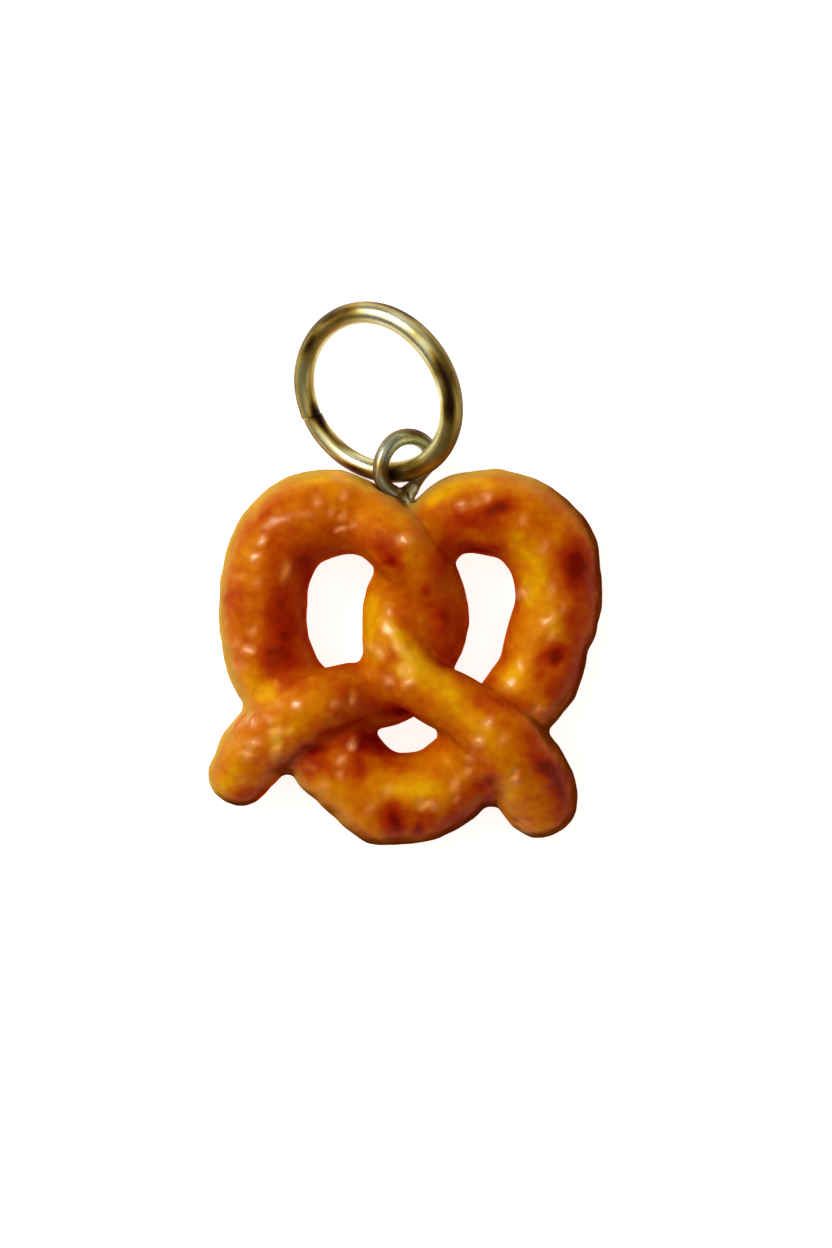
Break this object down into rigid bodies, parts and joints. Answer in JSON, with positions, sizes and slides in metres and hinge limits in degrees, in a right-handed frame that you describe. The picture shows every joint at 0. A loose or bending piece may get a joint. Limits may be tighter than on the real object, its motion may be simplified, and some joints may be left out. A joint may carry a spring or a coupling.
{
  "type": "pretzel charm",
  "caption": "Miniature soft pretzel charm of varnished clay, with a screw eye in its notch and a brass jump ring through the eye.",
  "frame": {"origin": "middle of the bounding box's underside, on the surface that the charm lies on", "axes": "+Z out of the pretzel's face, +Y from its belly to its notch and the ring, +X to the right as its face is seen"},
  "size_m": [0.0201, 0.0274, 0.0057],
  "materials": {
    "clay": "glossy varnish over golden brown clay, dry-brushed darker",
    "ring_brass": "polished, a little tarnished",
    "eye_wire": "dull plated wire, slightly yellow"
  },
  "bodies": {
    "charm": {"pretzel": "clay", "eye_pin": "eye_wire"},
    "ring": {"jump_ring": "ring_brass"}
  },
  "joints": [
    {"name": "ring_swing", "type": "hinge", "parent": "charm", "child": "ring", "pos_m": [0.0002, 0.0055, 0.0026], "axis": [0.8916, -0.1904, 0.4108], "range_deg": [0, 95]}
  ]
}
